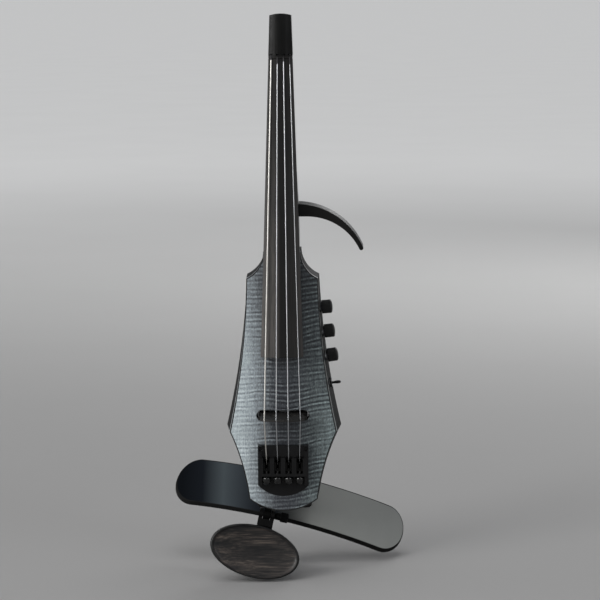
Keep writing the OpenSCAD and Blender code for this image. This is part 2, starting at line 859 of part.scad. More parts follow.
module preamp_board() {
    color("darkgreen") {
        translate([15.6, -30.4, 24]) cube([12.5, 1.5, 84]);
        for (k = [0:4]) translate([18, -29, 32 + 14 * k]) cube([6, 3, 4]);
        for (k = [0:2]) translate([21, -29, 40 + 22 * k]) rotate([-90, 0, 0]) cylinder(r = 2, h = 5);
    }
}

module battery() {
    color([0.15, 0.2, 0.3]) {
        translate([battery_box[0].x + 0.15, -20.9, 14.2]) cube([26.3, 17.4, 45.6]);
        for (s = [-1, 1]) translate([-17.2 + s * 6.3, -12.2, 59.8]) cylinder(r = 3, h = 2.4);
    }
}

module cover_plate_holes(from, to) {
    for (k = [from:to]) {
        p = cover_screw_places[k];
        post(1.2, -5, 5, p.x, p.y);
        post(2.1, -5, 1, p.x, p.y);
    }
}
module control_cover() {
    color([0.06, 0.06, 0.06])
    difference() {
        slab(0, cover_t) control_cover_outline();
        cover_plate_holes(0, 3);
    }
}
module battery_cover() {
    color([0.06, 0.06, 0.06])
    difference() {
        slab(0, cover_t) battery_cover_outline();
        cover_plate_holes(4, 7);
    }
}
module cover_screws() {
    color("dimgray")
    for (p = cover_screw_places) difference() {
        union() {
            post(1.05, 0.9, 10, p.x, p.y);
            post(2, 0.1, 1, p.x, p.y);
        }
        slab(-1, 0.6) translate([p.x, p.y]) {
            square([2.6, 0.6], center = true);
            square([0.6, 2.6], center = true);
        }
    }
}

module output_jack() {
    color("dimgray")
    translate([jack_x, -jack_height, 0]) difference() {
        union() {
            translate([0, 0, jack_face_z - 2.6]) cylinder(r = 4.5, h = 6.6);
            translate([0, 0, jack_face_z + 0.5]) cylinder(r = 5.45, h = 30);
        }
        translate([0, 0, jack_face_z - 5]) cylinder(r = jack_r, h = 5 + jack_len - 2.6);
        translate([0, 0, jack_face_z - 2.6 + jack_len]) cylinder(r = 4.2, h = 17);
    }
}
module jack_nut() {
    color([0.06, 0.06, 0.06])
    translate([jack_x, -jack_height, jack_face_z - 2.4]) difference() {
        cylinder(r = 6.9, h = 2.3, $fn = 6);
        translate([0, 0, -1]) cylinder(r = 4.52, h = 5);
    }
}

// ---- hand stop -----------------------------------------------------------------------

hand_stop_outer = [13.1, 128.5, 66.1];     // x, z and radius of the outer arc
hand_stop_inner = [22.7, 130.2, 52.9];
hand_stop_low = 4;
hand_stop_high = 32;
hand_stop_tip = [72.0, 154.1];
hand_stop_tip_r = 1.95;
hand_stop_tip_angle = 23.5;         // slope of the arm at its tip
hand_stop_screw_z = 188.6;
hand_stop_screw_heights = [11, 25];
hand_stop_hole_r = 2;
module hand_stop_outline() {
    difference() {
        intersection() {
            translate([hand_stop_outer[0], hand_stop_outer[1]]) circle(hand_stop_outer[2], $fn = big_fn);
            union() {
                intersection() {
                    translate(hand_stop_tip) rotate(hand_stop_tip_angle) translate([-70, 0]) square([82, 80]);
                    square_between(15, 90, 120, 210);
                }
                translate(hand_stop_tip) circle(hand_stop_tip_r, $fn = small_fn);
            }
        }
        translate([hand_stop_inner[0], hand_stop_inner[1]]) circle(hand_stop_inner[2], $fn = big_fn);
        polygon([
            [board_half(150) - 0.3, 150], [board_half(210) - 0.3, 210], [0, 210], [0, 150]
        ]);
        square_between(0, hand_stop_inner[0], 100, hand_stop_inner[1] + hand_stop_inner[2]);
    }
}
// Round bars across the heel, one at each screw height, starting 1 mm off the centre line.
module hand_stop_bars(r, len) {
    for (height = hand_stop_screw_heights)
        translate([1, -height, hand_stop_screw_z])
            rotate([0, 90, 0]) cylinder(r = r, h = len, $fn = small_fn);
}
module hand_stop() {
    color([0.08, 0.08, 0.085])
    difference() {
        slab(hand_stop_low, hand_stop_high) hand_stop_outline();
        hand_stop_bars(hand_stop_hole_r, 25.5);
    }
}
module hand_stop_screws() {
    color("dimgray") hand_stop_bars(hand_stop_hole_r - fit_gap, 24.5);
}

// ---- tail bracket --------------------------------------------------------------------

bracket_t = 4;
bracket_seat = 0.5;                 // how far the bracket is let into the back
bracket_half = 25.5;
bracket_z = [-95, -56];
bracket_screw_places = [[-20.5, -61], [20.5, -61], [-22, -76.5]];
chin_pivot = [-14, -88.5];          // x and z of the chin rest's turning axis

module bracket_outline() {
    round_rect(-bracket_half, bracket_half, bracket_z[0], bracket_z[1], 4);
}
module tail_bracket() {
    color([0.05, 0.05, 0.055])
    difference() {
        slab(-bracket_t, bracket_seat) bracket_outline();
        for (p = bracket_screw_places) {
            post(1.8, -10, 10, p.x, p.y);
            post(3.4, -10, -bracket_t + 1.6, p.x, p.y);
        }
        post(3 + fit_gap, -10, 10, chin_pivot.x, chin_pivot.y);
        post(3 + fit_gap, -10, 10, rest_pivot.x, rest_pivot.y);
    }
}
module tail_bracket_screws() {
    color("dimgray")
    for (p = bracket_screw_places) difference() {
        union() {
            post(1.55, -bracket_t + 1.4, 13, p.x, p.y);
            post(3.2, -bracket_t + 0.1, -bracket_t + 1.5, p.x, p.y);
        }
        slab(-bracket_t - 1, -bracket_t + 0.9) translate([p.x, p.y]) circle(1.5, $fn = 6);
    }
}

// ---- chin rest -----------------------------------------------------------------------

chin_arm_turn = 12;                  // turn of the arm; the plate is turned a little more
chin_axis = [0, 6.8, -15];           // hinge axis of the arm in the swivel's own frame
chin_centre = [-4.7, -50, -37.8];    // middle of the plate's rim in the same frame
chin_tilt = 12;
chin_tongue_half = 3.4;
chin_arm_half = 7.4;
chin_knuckle_r = 5.2;
chin_pin_r = 2;
chin_plate_t = 8;
chin_tray_t = 4;

// The swivel's frame: its origin is on the pivot, local -Z points down the arm.
module chin_frame() {
    translate([chin_pivot.x, 0, chin_pivot.y])
        rotate([0, chin_arm_turn, 0]) children();
}
// The plate's frame: local X is the long axis, +Y points away from the face.
module chin_plate_frame() {
    translate(chin_centre)
        rotate([0, chin_turn - chin_arm_turn, 0])
            rotate([-chin_tilt, 0, 0]) children();
}
// An oval disc between two depths; flare is the size of its far face over its near face.
module oval_disc(length, width, y0, y1, flare = 1) {
    translate([0, y0, 0])
        rotate([-90, 0, 0])
            scale([length / 2, width / 2, 1])
                cylinder(r1 = 1, r2 = flare, h = y1 - y0, $fn = big_fn);
}
// A bar across the swivel's frame, along local X, between two half widths.
module chin_bar(r, x0, x1) {
    translate([x0, chin_axis.y, chin_axis.z]) rotate([0, 90, 0]) cylinder(r = r, h = x1 - x0);
}

module chin_swivel() {
    color([0.05, 0.05, 0.055])
    chin_frame() difference() {
        union() {
            post(8.6, -9.2, -bracket_t - 0.2);
            translate([-chin_tongue_half, bracket_t + 0.2, chin_axis.z])
                cube([2 * chin_tongue_half, 5, -chin_axis.z]);
            chin_bar(chin_knuckle_r, -chin_tongue_half, chin_tongue_half);
        }
        post(3 + fit_gap, -12, 0);
        chin_bar(chin_pin_r + fit_gap, -10, 10);
    }
}
module chin_swivel_pin() {
    color("dimgray")
    translate([chin_pivot.x, 0, chin_pivot.y]) difference() {
        union() {
            post(3, -10, -0.3);
            post(5.4, -12.2, -9.4);
        }
        slab(-13, -10.6) circle(1.8, $fn = 6);
    }
}

// A flat bar of the arm seen from the side, in y and z, with round ends.
module arm_link(p, q, t) {
    d = q - p;
    translate(p) rotate(atan2(d.y, d.x)) {
        translate([0, -t / 2]) square([norm(d), t]);
        circle(t / 2);
        translate([norm(d), 0]) circle(t / 2);
    }
}
// Extrudes a side-view outline, drawn in y and z, across local X.
module side_slab(half) {
    translate([-half, 0, 0])
        rotate([90, 0, 90])
            linear_extrude(2 * half) children();
}
module chin_arm() {
    bend = [2.4, -27.5];
    tip = [-40, -33.5];
    color([0.05, 0.05, 0.055])
    chin_frame() difference() {
        union() {
            side_slab(chin_arm_half) {
                translate([chin_axis.y, chin_axis.z]) circle(chin_knuckle_r);
                arm_link([chin_axis.y - 0.6, chin_axis.z], bend, 6.4);
                arm_link(bend, tip, 6.4);
            }
            chin_plate_frame() {
                translate([4.7, 0, 3]) post(11, -chin_plate_t - chin_tray_t - 4, -chin_plate_t - chin_tray_t);
                translate([-2.7, chin_plate_t + chin_tray_t, -3]) cube([14.8, 9, 14]);
            }
        }
        chin_plate_frame() translate([-60, -60, -60]) cube([120, 60 + chin_plate_t + chin_tray_t, 120]);
        chin_bar(6.2, -chin_tongue_half - part_gap, chin_tongue_half + part_gap);
        translate([-chin_tongue_half - part_gap, bracket_t - 4, chin_axis.z])
            cube([2 * (chin_tongue_half + part_gap), 12, 12]);
        chin_bar(chin_pin_r + fit_gap, -10, 10);
    }
}
module chin_tray() {
    color([0.04, 0.04, 0.045])
    chin_frame() chin_plate_frame()
        oval_disc(chin_len - 6, chin_w - 6, chin_plate_t, chin_plate_t + chin_tray_t, 0.9);
}
module chin_plate() {
    rim_w = 3;
    dish_r = 230;
    color([0.20, 0.17, 0.14])
    chin_frame() chin_plate_frame() difference() {
        union() {
            oval_disc(chin_len - 1.6, chin_w - 1.6, 0, 1, 1.6 / chin_len + 1);
            oval_disc(chin_len, chin_w, 1, 4.5);
            oval_disc(chin_len, chin_w, 4.5, chin_plate_t, 0.93);
        }
        oval_disc(chin_len - 2 * rim_w, chin_w - 2 * rim_w, -1, 1.2, 1);
        intersection() {
            oval_disc(chin_len - 2 * rim_w - 1, chin_w - 2 * rim_w - 1, 1, 5, 1);
            translate([0, 4.6 - dish_r, 0]) sphere(r = dish_r, $fn = big_fn * 2);
        }
    }
}
module chin_thumb_screw() {
    color([0.06, 0.06, 0.065])
    chin_frame() {
        chin_bar(chin_pin_r, -chin_arm_half - 0.8, 14);
        chin_bar(3.6, chin_arm_half + 0.3, 13);
        translate([13, chin_axis.y, chin_axis.z]) rotate([0, 90, 0])
            knurled_barrel(4.6, 7.6, 22, 0.35, 0.8);
    }
}

// ---- shoulder rest -------------------------------------------------------------------

rest_origin = [35.5, 32, -101];      // a point on the front of the bent plate
rest_ends = [-140.7, 82];            // reach of the two wings along local X
rest_axis = [-33, -6, 10];           // tilt hinge in the plate's frame
rest_plate_t = 2.5;
rest_pad_t = 6;
rest_border = 0.7;
rest_knuckle_half = 4.7;
rest_ear_half = 9;
rest_pin_r = 2.5;
rest_post_r = 6;
rest_tube = [-19, -4.2];             // the tube's two ends, as heights behind the back

// The tilt hinge in the main frame; the post's turning axis passes through it.
rest_reach = rest_axis.z * cos(rest_tilt) - rest_axis.y * sin(rest_tilt);
rest_hinge = rest_origin + [
    rest_axis.x * cos(rest_turn) + rest_reach * sin(rest_turn),
    rest_axis.y * cos(rest_tilt) + rest_axis.z * sin(rest_tilt),
    rest_reach * cos(rest_turn) - rest_axis.x * sin(rest_turn)
];
rest_pivot = [rest_hinge.x, rest_hinge.z];

module rest_frame() {
    translate(rest_origin)
        rotate([0, rest_turn, 0])
            rotate([-rest_tilt, 0, 0]) children();
}
// The post's frame: the origin is on the tilt hinge, local X runs along it.
module rest_post_frame() {
    translate(rest_hinge) rotate([0, rest_turn, 0]) children();
}
module rest_outline(width) {
    end_squash = 0.85;
    reach = end_squash * width / 2;
    translate([rest_ends[0] + reach, -20, -width / 2])
        cube([rest_ends[1] - rest_ends[0] - 2 * reach, 90, width]);
    for (x = [rest_ends[0] + reach, rest_ends[1] - reach])
        translate([x, -20, 0]) scale([end_squash, 1, 1]) rotate([-90, 0, 0]) cylinder(r = width / 2, h = 90);
}
// A bent sheet between two depths behind the front surface of the rest.
module bent_sheet(near, far) {
    translate([0, rest_r, -40]) difference() {
        cylinder(r = rest_r - near, h = 80, $fn = big_fn * 2);
        translate([0, 0, -1]) cylinder(r = rest_r - far, h = 82, $fn = big_fn * 2);
    }
}

module rest_plate() {
    color([0.40, 0.43, 0.42])
    rest_frame() difference() {
        union() {
            intersection() {
                bent_sheet(0, rest_plate_t);
                rest_outline(rest_w - 2 * rest_border);
            }
            translate(rest_axis) {
                translate([-rest_knuckle_half, 0, 0]) rotate([0, 90, 0])
                    cylinder(r = 5.4, h = 2 * rest_knuckle_half);
                translate([-rest_knuckle_half, 0, -5.4]) cube([2 * rest_knuckle_half, 8.6, 10.8]);
            }
        }
        translate(rest_axis) translate([-20, 0, 0]) rotate([0, 90, 0])
            cylinder(r = rest_pin_r + fit_gap, h = 40);
    }
}
module rest_pad() {
    color([0.06, 0.06, 0.065])
    rest_frame() intersection() {
        bent_sheet(rest_plate_t, rest_plate_t + rest_pad_t);
        rest_outline(rest_w);
    }
}
module rest_swivel() {
    color([0.05, 0.05, 0.055])
    translate([rest_pivot.x, 0, rest_pivot.y]) difference() {
        union() {
            post(11.5, -8, -bracket_t - 0.2);
            post(8.6, rest_tube[0], rest_tube[1]);
        }
        post(rest_post_r + fit_gap, rest_tube[0] - 1, -8);
        post(3 + fit_gap, -10, 0);
    }
}
module rest_swivel_pin() {
    color("dimgray")
    translate([rest_pivot.x, 0, rest_pivot.y]) difference() {
        union() {
            post(3, -8.2, -0.3);
            post(5, -10, -8.1);
        }
        slab(-11, -8.8) circle(1.8, $fn = 6);
    }
}
module rest_post() {
    color([0.05, 0.05, 0.055])
    difference() {
        union() {
            translate([rest_pivot.x, 0, rest_pivot.y]) post(rest_post_r, -23.5, -10.4);
            rest_post_frame() {
                translate([-rest_ear_half, 0, 0]) rotate([0, 90, 0]) cylinder(r = 5.4, h = 2 * rest_ear_half);
                translate([-rest_ear_half, -13.5, -5.4]) cube([2 * rest_ear_half, 13.5, 10.8]);
            }
        }
        rest_post_frame() {
            translate([-rest_knuckle_half - part_gap, -7.8, -12])
                cube([2 * (rest_knuckle_half + part_gap), 20, 24]);
            translate([-20, 0, 0]) rotate([0, 90, 0]) cylinder(r = rest_pin_r + fit_gap, h = 40);
        }
    }
}
module rest_thumb_screw() {
    color([0.06, 0.06, 0.065])
    rest_post_frame() {
        translate([-rest_ear_half - 1, 0, 0]) rotate([0, 90, 0]) cylinder(r = rest_pin_r, h = 22);
        translate([rest_ear_half + 0.4, 0, 0]) rotate([0, 90, 0]) knurled_barrel(5.6, 8, 26, 0.4, 1);
    }
}

// ---- the nodes -----------------------------------------------------------------------

body_core();
top_plate();
top_binding();
neck();
fingerboard();
nut();
head_cap();
string_anchor();
head_cap_screws();
string_g();
string_d();
string_a();
string_e();
bridge();
pickup_base();
pickup_elements();
pickup_lead();
tuner_frame();
tuner_frame_screws();
tuner_carriage_g();
tuner_carriage_d();
tuner_carriage_a();
tuner_carriage_e();
tuner_screw_g();
tuner_screw_d();
tuner_screw_a();
tuner_screw_e();
volume_knob();
bass_knob();
treble_knob();
potentiometers();
pot_nuts();
toggle_body();
toggle_lever();
toggle_nut();
preamp_board();
battery();
control_cover();
battery_cover();
cover_screws();
output_jack();
jack_nut();
hand_stop();
hand_stop_screws();
tail_bracket();
tail_bracket_screws();
chin_swivel();
chin_swivel_pin();
chin_arm();
chin_tray();
chin_plate();
chin_thumb_screw();
rest_swivel();
rest_swivel_pin();
rest_plate();
rest_pad();
rest_post();
rest_thumb_screw();
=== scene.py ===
import json
import math

import bmesh
import bpy
from mathutils import Matrix, Vector


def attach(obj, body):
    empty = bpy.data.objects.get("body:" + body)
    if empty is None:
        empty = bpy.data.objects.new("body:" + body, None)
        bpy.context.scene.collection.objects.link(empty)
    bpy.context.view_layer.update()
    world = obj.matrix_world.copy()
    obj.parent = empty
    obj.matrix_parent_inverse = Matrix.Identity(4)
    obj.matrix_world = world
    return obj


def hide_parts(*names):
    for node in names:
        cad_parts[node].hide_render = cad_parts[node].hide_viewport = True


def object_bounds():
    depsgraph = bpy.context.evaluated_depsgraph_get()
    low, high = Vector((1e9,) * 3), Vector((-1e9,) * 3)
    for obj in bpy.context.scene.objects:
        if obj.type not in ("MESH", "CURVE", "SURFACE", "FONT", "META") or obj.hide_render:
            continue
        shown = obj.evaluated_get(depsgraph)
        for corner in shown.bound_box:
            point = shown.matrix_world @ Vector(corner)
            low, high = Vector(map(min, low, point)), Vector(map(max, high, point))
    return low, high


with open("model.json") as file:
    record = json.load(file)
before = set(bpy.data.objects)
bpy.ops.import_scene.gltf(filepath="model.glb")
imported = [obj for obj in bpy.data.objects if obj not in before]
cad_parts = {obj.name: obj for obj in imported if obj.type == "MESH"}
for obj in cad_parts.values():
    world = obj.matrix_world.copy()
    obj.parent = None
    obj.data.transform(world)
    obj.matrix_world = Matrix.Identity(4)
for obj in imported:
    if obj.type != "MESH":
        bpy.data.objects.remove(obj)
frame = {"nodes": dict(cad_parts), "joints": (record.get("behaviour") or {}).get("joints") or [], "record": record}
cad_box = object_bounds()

# The shared frame in metres: +Z up the neck, -Y towards the camera, +X the treble side.
# Lengths below are in millimetres where a name or comment says so.
MM = 0.001
NODES = frame["nodes"]
BODIES = frame["record"]["behaviour"]["bodies"]
BODY_OF = {node: body for body, members in BODIES.items() for node in members}
SLOT_OF = {part["node"]: part["material_slot"] for part in frame["record"]["subparts"]}
JOINT = {joint["name"]: joint for joint in frame["joints"]}
SMOOTH_ANGLE = math.radians(32)     # faces that meet at less than this are shaded as one
BEVEL_ANGLE = math.radians(35)      # edges sharper than this are rounded over
FLAT_ANGLE = math.radians(0.4)      # CAD triangles this close to one plane are merged


# ---- shader helpers ------------------------------------------------------------------

class Shader:
    """Builds one node material. Textures run on object coordinates: metres in the shared frame."""

    def __init__(self, name, roughness=0.5, metallic=0.0, coat=0.0, coat_roughness=0.1):
        self.material = bpy.data.materials.new(name)
        self.material.use_nodes = True
        self.tree = self.material.node_tree
        self.bsdf = self.tree.nodes["Principled BSDF"]
        self.coords = self.node("ShaderNodeTexCoord").outputs["Object"]
        self.set(roughness=roughness, metallic=metallic, coat=coat, coat_roughness=coat_roughness)

    def node(self, kind, **settings):
        made = self.tree.nodes.new(kind)
        for key, value in settings.items():
            setattr(made, key, value)
        return made

    def feed(self, value, socket):
        if isinstance(value, bpy.types.NodeSocket):
            self.tree.links.new(value, socket)
        elif isinstance(value, (tuple, list)) and len(value) == 3 and socket.type == "RGBA":
            socket.default_value = (*value, 1)
        else:
            socket.default_value = value

    def set(self, **values):
        names = {"color": "Base Color", "roughness": "Roughness", "metallic": "Metallic",
                 "coat": "Coat Weight", "coat_roughness": "Coat Roughness", "normal": "Normal",
                 "specular": "Specular IOR Level", "sheen": "Sheen Weight"}
        for key, value in values.items():
            self.feed(value, self.bsdf.inputs[names[key]])

    def mapped(self, scale=(1, 1, 1), turn=(0, 0, 0)):
        """Coordinates scaled, then turned by turn, given in degrees."""
        made = self.node("ShaderNodeMapping")
        self.feed(self.coords, made.inputs["Vector"])
        made.inputs["Rotation"].default_value = [math.radians(angle) for angle in turn]
        made.inputs["Scale"].default_value = scale
        return made.outputs["Vector"]

    def noise(self, scale, detail=3, roughness=0.55, vector=None, distortion=0.0):
        made = self.node("ShaderNodeTexNoise")
        self.feed(self.coords if vector is None else vector, made.inputs["Vector"])
        self.feed(scale, made.inputs["Scale"])
        self.feed(detail, made.inputs["Detail"])
        self.feed(roughness, made.inputs["Roughness"])
        self.feed(distortion, made.inputs["Distortion"])
        return made.outputs["Fac"]

    def math(self, operation, a, b=0.0, c=None):
        made = self.node("ShaderNodeMath", operation=operation)
        for value, socket in zip((a, b, c), made.inputs):
            if value is not None:
                self.feed(value, socket)
        return made.outputs[0]

    def axes(self):
        made = self.node("ShaderNodeSeparateXYZ")
        self.feed(self.coords, made.inputs[0])
        return made.outputs["X"], made.outputs["Y"], made.outputs["Z"]

    def waves(self, value, length):
        """A sine wave of the given length in metres."""
        return self.math("SINE", self.math("MULTIPLY", value, 2 * math.pi / length))

    def turns(self, pitch):
        """Fine turns wound across the neck's direction, from 0 to 1."""
        _, _, z = self.axes()
        return self.math("MULTIPLY_ADD", self.waves(z, pitch), 0.5, 0.5)

    def remap(self, value, low, high, to_low=0.0, to_high=1.0, smooth=True):
        made = self.node("ShaderNodeMapRange", interpolation_type="SMOOTHSTEP" if smooth else "LINEAR")
        for item, socket in zip((value, low, high, to_low, to_high), made.inputs):
            self.feed(item, socket)
        return made.outputs[0]

    def ramp(self, value, stops):
        made = self.node("ShaderNodeValToRGB")
        elements = made.color_ramp.elements
        while len(elements) < len(stops):
            elements.new(0.5)
        for element, (place, color) in zip(elements, stops):
            element.position = place
            element.color = (*color, 1)
        self.feed(value, made.inputs["Fac"])
        return made.outputs["Color"]

    def mix(self, factor, a, b, blend="MIX"):
        made = self.node("ShaderNodeMix", data_type="RGBA", blend_type=blend)
        self.feed(factor, made.inputs["Factor"])
        self.feed(a, [s for s in made.inputs if s.name == "A" and s.type == "RGBA"][0])
        self.feed(b, [s for s in made.inputs if s.name == "B" and s.type == "RGBA"][0])
        return [s for s in made.outputs if s.type == "RGBA"][0]

    def bump(self, height, depth_mm, strength=1.0):
        made = self.node("ShaderNodeBump")
        self.feed(height, made.inputs["Height"])
        self.feed(strength, made.inputs["Strength"])
        self.feed(depth_mm * MM, made.inputs["Distance"])
        self.set(normal=made.outputs["Normal"])


def grey(value, tint=(1, 1, 1)):
    return tuple(value * channel for channel in tint)


def greys(*stops):
    """Ramp stops from (place, grey value) pairs."""
    return [(place, grey(value)) for place, value in stops]


# ---- materials -----------------------------------------------------------------------

def flamed_maple():
    """Blue-grey stain over flamed maple, paler at the waist and darker towards the neck, with light and shade
    painted into the colour: the pale bass side is partly a paler stain and partly a painted sheen, and the dark
    middle is painted shade.
    """
    s = Shader("flamed_maple", roughness=0.40, coat=0.12, coat_roughness=0.35)
    s.set(specular=0.35)
    x, _, z = s.axes()
    warp = s.noise(22, detail=2, vector=s.mapped(scale=(0.6, 1, 0.5)))
    fine_warp = s.noise(90, detail=3, vector=s.mapped(scale=(1, 1, 0.8)))
    # stripes lie across the body and climb a little towards the treble side
    climb = s.remap(x, -0.02, 0.03, -0.02, -0.15)
    level = s.math("MULTIPLY_ADD", x, climb, z)
    level = s.math("MULTIPLY_ADD", warp, 0.011, level)
    level = s.math("MULTIPLY_ADD", fine_warp, 0.0028, level)
    stripe = s.math("MULTIPLY_ADD", s.waves(level, 2.7 * MM), 0.45, s.waves(level, 4.3 * MM))
    # the figure comes and goes in patches and is broken up by the vertical grain
    patch = s.remap(s.noise(42, detail=2, vector=s.mapped(scale=(0.6, 1, 1.6))), 0.34, 0.58, 0.30, 1.0)
    columns = s.noise(330, detail=2, vector=s.mapped(scale=(1, 1, 0.22)))
    patch = s.math("MULTIPLY", patch, s.remap(columns, 0.34, 0.60, 0.50, 1.15))
    stripe = s.math("MULTIPLY", stripe, patch)
    grain = s.noise(1000, detail=3, vector=s.mapped(scale=(1, 1, 0.05)))
    speckle = s.noise(1250, detail=2, roughness=0.6, vector=s.mapped(scale=(1, 1, 0.4)))
    # paler bass side: partly the stain, partly a painted sheen where the light from the bass side falls on the
    # arched top
    bass_pale_stain_and_sheen = s.remap(x, 0.000, -0.042)
    pale_waist = s.math("MULTIPLY", s.remap(x, 0.014, 0.054), s.remap(z, 0.075, -0.020))
    # painted shade down the middle of the arched top
    middle = s.remap(s.math("ABSOLUTE", s.math("SUBTRACT", x, 0.002)), 0.020, 0.004)
    tone = s.math("MULTIPLY_ADD", bass_pale_stain_and_sheen, 0.48, 0.272)
    tone = s.math("MULTIPLY_ADD", pale_waist, 0.235, tone)
    tone = s.math("MULTIPLY_ADD", middle, -0.085, tone)
    tone = s.math("SUBTRACT", tone, s.math("MULTIPLY", bass_pale_stain_and_sheen, s.remap(z, 0.045, 0.120, 0.0, 0.07)))
    tone = s.math("SUBTRACT", tone, s.remap(z, 0.070, 0.125, 0.0, 0.09))
    tail = s.math("MULTIPLY", s.remap(z, -0.050, -0.080), s.remap(x, -0.042, -0.010))
    tone = s.math("MULTIPLY_ADD", tail, 0.04, tone)
    tone = s.math("MULTIPLY_ADD", stripe, s.remap(bass_pale_stain_and_sheen, 0, 1, 0.165, 0.095), tone)
    tone = s.math("MULTIPLY_ADD", s.math("SUBTRACT", grain, 0.5), 0.30, tone)
    tone = s.math("MULTIPLY_ADD", s.math("SUBTRACT", speckle, 0.5), 0.55, tone)
    color = s.ramp(tone, [
        (0.0, (0.008, 0.009, 0.012)), (0.24, (0.040, 0.044, 0.052)), (0.42, (0.112, 0.124, 0.134)),
        (0.62, (0.235, 0.268, 0.290)), (0.80, (0.41, 0.465, 0.485)), (1.0, (0.62, 0.68, 0.70)),
    ])
    green = s.remap(x, -0.002, 0.030)
    color = s.mix(s.math("MULTIPLY", green, 0.8), color, (0.90, 1.0, 0.93), "MULTIPLY")
    s.set(color=color, roughness=s.remap(stripe, -1.0, 1.0, 0.36, 0.46, smooth=False))
    s.bump(s.math("MULTIPLY_ADD", speckle, 0.4, grain), 0.03, 0.5)
    return s.material


BOARD_HALF_AT_BRIDGE = 0.0212   # half the board's width at the bridge's level, in metres
BOARD_TAPER = -0.03155          # how it changes with height


def ebony():
    """Near-black brown board with grain along the neck, with painted reflections across it: a soft painted sheen
    on its bass flank and the darkest painted reflection down the middle.
    """
    s = Shader("ebony", roughness=0.42, coat=0.05, coat_roughness=0.3)
    s.set(specular=0.3)
    x, _, z = s.axes()
    half_width = s.math("MULTIPLY_ADD", z, BOARD_TAPER, BOARD_HALF_AT_BRIDGE)
    across = s.math("DIVIDE", x, half_width)
    place = s.remap(across, -1, 1, smooth=False)
    # painted reflections across the cambered board, near the body and near the nut: lighter on the bass flank,
    # darkest between the middle strings
    painted_reflection_at_body = s.ramp(place, greys(
        (0.00, 0.052), (0.14, 0.054), (0.30, 0.056), (0.38, 0.034), (0.47, 0.003), (0.62, 0.003),
        (0.68, 0.009), (0.84, 0.012), (1.0, 0.026),
    ))
    painted_reflection_at_nut = s.ramp(place, greys(
        (0.0, 0.012), (0.40, 0.007), (0.47, 0.002), (0.62, 0.002), (0.84, 0.005), (1.0, 0.014),
    ))
    tone = s.mix(s.remap(z, 0.06, 0.32), painted_reflection_at_body, painted_reflection_at_nut)
    streak = s.noise(700, detail=4, roughness=0.65, vector=s.mapped(scale=(1, 1, 0.018)))
    fibre = s.noise(2600, detail=2, vector=s.mapped(scale=(1, 1, 0.03)))
    wood = s.ramp(streak, [
        (0.30, (0.55, 0.50, 0.47)), (0.52, (1.0, 0.93, 0.88)), (0.72, (1.45, 1.25, 1.14)),
    ])
    color = s.mix(1.0, tone, wood, "MULTIPLY")
    s.set(color=color, roughness=s.remap(fibre, 0.3, 0.7, 0.34, 0.52))
    s.bump(fibre, 0.02, 0.6)
    return s.material


def wood_black(name, base, roughness=0.38):
    """Black stained hardwood with faint grain along the neck."""
    s = Shader(name, roughness=roughness, coat=0.08, coat_roughness=0.25)
    s.set(specular=0.3)
    grain = s.noise(600, detail=4, vector=s.mapped(scale=(1, 1, 0.03)))
    s.set(color=s.ramp(grain, [(0.3, grey(base * 0.6)), (0.7, grey(base * 1.6, (1.08, 1.0, 0.95)))]))
    s.bump(grain, 0.015, 0.5)
    return s.material


def satin_paint(name, base, tint=(1, 1, 1), roughness=0.36, coat=0.08, spread=0.35, specular=0.3):
    """Sprayed paint: even colour with slight cloudiness, fine orange peel and uneven gloss."""
    s = Shader(name, roughness=roughness, coat=coat, coat_roughness=0.2)
    s.set(specular=specular)
    cloud = s.noise(35, detail=4)
    peel = s.noise(1400, detail=2)
    handled = s.noise(160, detail=5, roughness=0.7)
    low, high = base * (1 - spread), base * (1 + spread)
    s.set(color=s.ramp(cloud, [(0.30, grey(low, tint)), (0.70, grey(high, tint))]),
          roughness=s.remap(handled, 0.3, 0.75, roughness - 0.06, roughness + 0.10))
    s.bump(peel, 0.012, 0.5)
    return s.material


def polished_black(name):
    """Smooth black plating that mirrors the lights."""
    s = Shader(name)
    handled = s.noise(220, detail=4)
    s.set(color=grey(0.0012), specular=0.55, roughness=s.remap(handled, 0.3, 0.7, 0.16, 0.24))
    return s.material


def moulded_plastic(name, base, roughness=0.45):
    """Moulded plastic with a fine spark-eroded texture."""
    s = Shader(name, roughness=roughness)
    s.set(specular=0.3)
    texture = s.noise(2400, detail=2, roughness=0.6)
    cloud = s.noise(90, detail=3)
    s.set(color=s.ramp(cloud, greys((0.3, base * 0.75), (0.7, base * 1.25))),
          roughness=s.remap(texture, 0.35, 0.65, roughness - 0.05, roughness + 0.08))
    s.bump(texture, 0.02, 0.6)
    return s.material


def bare_metal(name, color, roughness=0.3):
    """Turned metal with fine marks and uneven gloss."""
    s = Shader(name, roughness=roughness, metallic=1.0)
    brush = s.noise(1800, detail=3)
    dull = s.noise(120, detail=4)
    dark = tuple(0.72 * channel for channel in color)
    s.set(color=s.mix(s.remap(brush, 0.3, 0.7), dark, color),
          roughness=s.remap(dull, 0.3, 0.7, roughness - 0.07, roughness + 0.12))
    s.bump(brush, 0.008, 0.5)
    return s.material


def string_metal(name, color, pitch_mm, roughness):
    """Wound string: a bright metal with fine turns across it."""
    s = Shader(name, roughness=roughness, metallic=1.0)
    turns = s.turns(pitch_mm * MM)
    dark = tuple(0.85 * channel for channel in color)
    s.set(color=s.mix(turns, dark, color))
    s.bump(turns, 0.008, 0.4)
    return s.material


def silk_thread(name, color):
    """Silk lapping at a string's ends."""
    s = Shader(name, roughness=0.75)
    s.set(sheen=0.4)
    turns = s.turns(0.22 * MM)
    dark = tuple(0.4 * channel for channel in color)
    s.set(color=s.mix(turns, dark, color))
    s.bump(turns, 0.04, 0.7)
    return s.material


